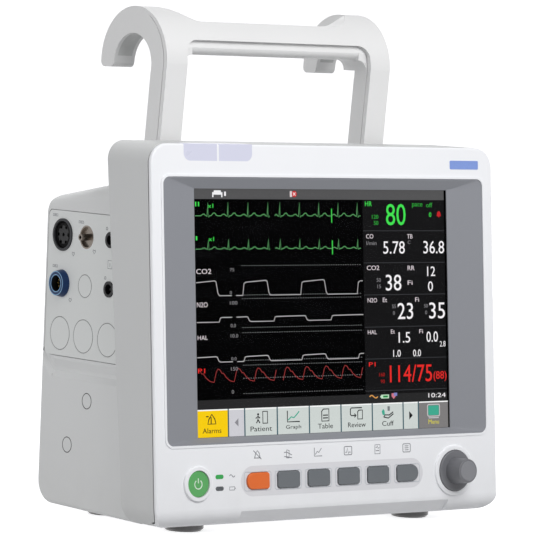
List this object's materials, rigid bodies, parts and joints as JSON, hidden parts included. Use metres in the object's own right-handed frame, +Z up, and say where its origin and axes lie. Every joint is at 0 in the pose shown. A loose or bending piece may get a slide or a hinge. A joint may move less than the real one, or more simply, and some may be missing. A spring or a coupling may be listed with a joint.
{
  "type": "patient monitor",
  "caption": "Bedside patient monitor: tilted display front with keys and knob, sensor sockets on one side, and a fixed carrying handle with rail hooks.",
  "frame": {"origin": "bottom centre of the whole object's box, on the plane that its feet stand on", "axes": "+Z up, +Y from the display towards the rear, +X to the right of someone facing the display"},
  "size_m": [0.2846, 0.1592, 0.3345],
  "materials": {
    "bezel_plastic": "fine satin texture, warm white",
    "seal_rubber": "matt black rubber",
    "surround_plastic": "matt mid grey",
    "window_glass": "clear anti-glare glass",
    "display_black": "black display surface",
    "sheet_steel": "zinc plated sheet",
    "key_strip_plastic": "satin warm light grey",
    "grey_rubber": "matt silicone rubber",
    "circuit_board": "green solder mask",
    "power_green": "semi-gloss green",
    "led_window": "clear light guides",
    "knob_plastic": "dark grey soft-touch",
    "knob_cap_plastic": "mid grey, fine ring marks",
    "steel": "bright machined",
    "black_plastic": "black moulded plastic",
    "lamp_lens": "frosted lavender lens",
    "front_housing_plastic": "fine texture, light grey",
    "rear_housing_plastic": "fine texture, pale grey",
    "side_panel_plastic": "fine texture, pale grey",
    "handle_plastic": "fine texture, pale grey",
    "socket_grey": "satin grey",
    "socket_blue": "satin blue",
    "nickel": "nickel plated",
    "foot_rubber": "matt black rubber",
    "brass": "plain turned brass",
    "key_grey": "satin silicone grey",
    "key_orange": "satin silicone orange",
    "paper": "smooth thermal paper",
    "battery_wrap": "dark shrink wrap",
    "aluminium_sheet": "brushed sheet"
  },
  "bodies": {
    "case": {"front_bezel": "bezel_plastic", "front_seal": "seal_rubber", "display_surround": "surround_plastic", "display_window": "window_glass", "display_panel": "display_black", "display_bracket": "sheet_steel", "key_strip": "key_strip_plastic", "keypad_mat": "grey_rubber", "front_boards": "circuit_board", "led_windows": "led_window", "encoder_body": "black_plastic", "alarm_lamps": "lamp_lens", "front_housing": "front_housing_plastic", "rear_housing": "rear_housing_plastic", "side_panel": "side_panel_plastic", "ecg_socket": "socket_grey", "socket_inserts": "black_plastic", "nibp_fitting": "nickel", "spo2_socket": "socket_blue", "small_sockets": "black_plastic", "blank_plugs": "side_panel_plastic", "screw_caps": "rear_housing_plastic", "handle_body": "handle_plastic", "handle_cover": "handle_plastic", "hook_pads": "seal_rubber", "fasteners": "steel", "feet": "foot_rubber", "mounting_inserts": "brass", "recorder_frame": "rear_housing_plastic", "hinge_pins": "steel", "thermal_head": "black_plastic", "battery_bay": "black_plastic", "battery_pack": "battery_wrap", "connector_tray": "aluminium_sheet", "mains_inlet": "black_plastic", "inlet_pins": "nickel", "earth_stud": "brass", "network_port": "nickel", "chassis": "sheet_steel", "main_board": "circuit_board", "power_supply": "sheet_steel", "speaker": "black_plastic", "sensor_board": "circuit_board", "cuff_pump": "socket_grey"},
    "power_button": {"power_button": "power_green"},
    "knob_push": {"encoder_plunger": "black_plastic"},
    "knob": {"knob": "knob_plastic", "knob_cap": "knob_cap_plastic", "encoder_shaft": "steel"},
    "recorder_door": {"recorder_door": "side_panel_plastic"},
    "recorder_release": {"recorder_release": "key_grey"},
    "platen": {"platen_roller": "grey_rubber"},
    "paper_roll": {"paper_roll": "paper"},
    "battery_door": {"battery_door": "side_panel_plastic"},
    "key_mute": {"key_mute": "key_orange"},
    "key_nibp": {"key_nibp": "key_grey"},
    "key_trend": {"key_trend": "key_grey"},
    "key_freeze": {"key_freeze": "key_grey"},
    "key_record": {"key_record": "key_grey"},
    "key_menu": {"key_menu": "key_grey"}
  },
  "joints": [
    {"name": "power_button_press", "type": "slide", "parent": "case", "child": "power_button", "axis": [0, 0.9959, -0.0906], "range_m": [0, 0.0015], "stiffness_N_per_m": 700},
    {"name": "key_mute_press", "type": "slide", "parent": "case", "child": "key_mute", "axis": [0, 0.9959, -0.0906], "range_m": [0, 0.0012], "stiffness_N_per_m": 800},
    {"name": "key_nibp_press", "type": "slide", "parent": "case", "child": "key_nibp", "axis": [0, 0.9959, -0.0906], "range_m": [0, 0.0012], "stiffness_N_per_m": 800},
    {"name": "key_trend_press", "type": "slide", "parent": "case", "child": "key_trend", "axis": [0, 0.9959, -0.0906], "range_m": [0, 0.0012], "stiffness_N_per_m": 800},
    {"name": "key_freeze_press", "type": "slide", "parent": "case", "child": "key_freeze", "axis": [0, 0.9959, -0.0906], "range_m": [0, 0.0012], "stiffness_N_per_m": 800},
    {"name": "key_record_press", "type": "slide", "parent": "case", "child": "key_record", "axis": [0, 0.9959, -0.0906], "range_m": [0, 0.0012], "stiffness_N_per_m": 800},
    {"name": "key_menu_press", "type": "slide", "parent": "case", "child": "key_menu", "axis": [0, 0.9959, -0.0906], "range_m": [0, 0.0012], "stiffness_N_per_m": 800},
    {"name": "knob_press", "type": "slide", "parent": "case", "child": "knob_push", "axis": [0, 0.9959, -0.0906], "range_m": [0, 0.0008], "stiffness_N_per_m": 2500},
    {"name": "knob_turn", "type": "hinge", "parent": "knob_push", "child": "knob", "pos_m": [0.1044, -0.06414, 0.03404], "axis": [0, -0.9959, 0.0906], "continuous": true},
    {"name": "recorder_door_open", "type": "hinge", "parent": "case", "child": "recorder_door", "pos_m": [0.1314, 0.03764, 0.0926], "axis": [0, 1, 0], "range_deg": [0, 80]},
    {"name": "recorder_release_press", "type": "slide", "parent": "case", "child": "recorder_release", "axis": [-1, 0, 0], "range_m": [0, 0.002], "stiffness_N_per_m": 600},
    {"name": "platen_spin", "type": "hinge", "parent": "recorder_door", "child": "platen", "pos_m": [0.1254, 0.03764, 0.1345], "axis": [0, 1, 0], "continuous": true},
    {"name": "paper_roll_spin", "type": "hinge", "parent": "case", "child": "paper_roll", "pos_m": [0.1095, 0.03764, 0.1115], "axis": [0, 1, 0], "continuous": true},
    {"name": "battery_door_open", "type": "hinge", "parent": "case", "child": "battery_door", "pos_m": [-0.1069, 0.07654, 0.0575], "axis": [0, 0, 1], "range_deg": [0, 95]}
  ],
  "couplings": [
    {"joint": "paper_roll_spin", "follows": "platen_spin", "ratio": 0.29412}
  ]
}
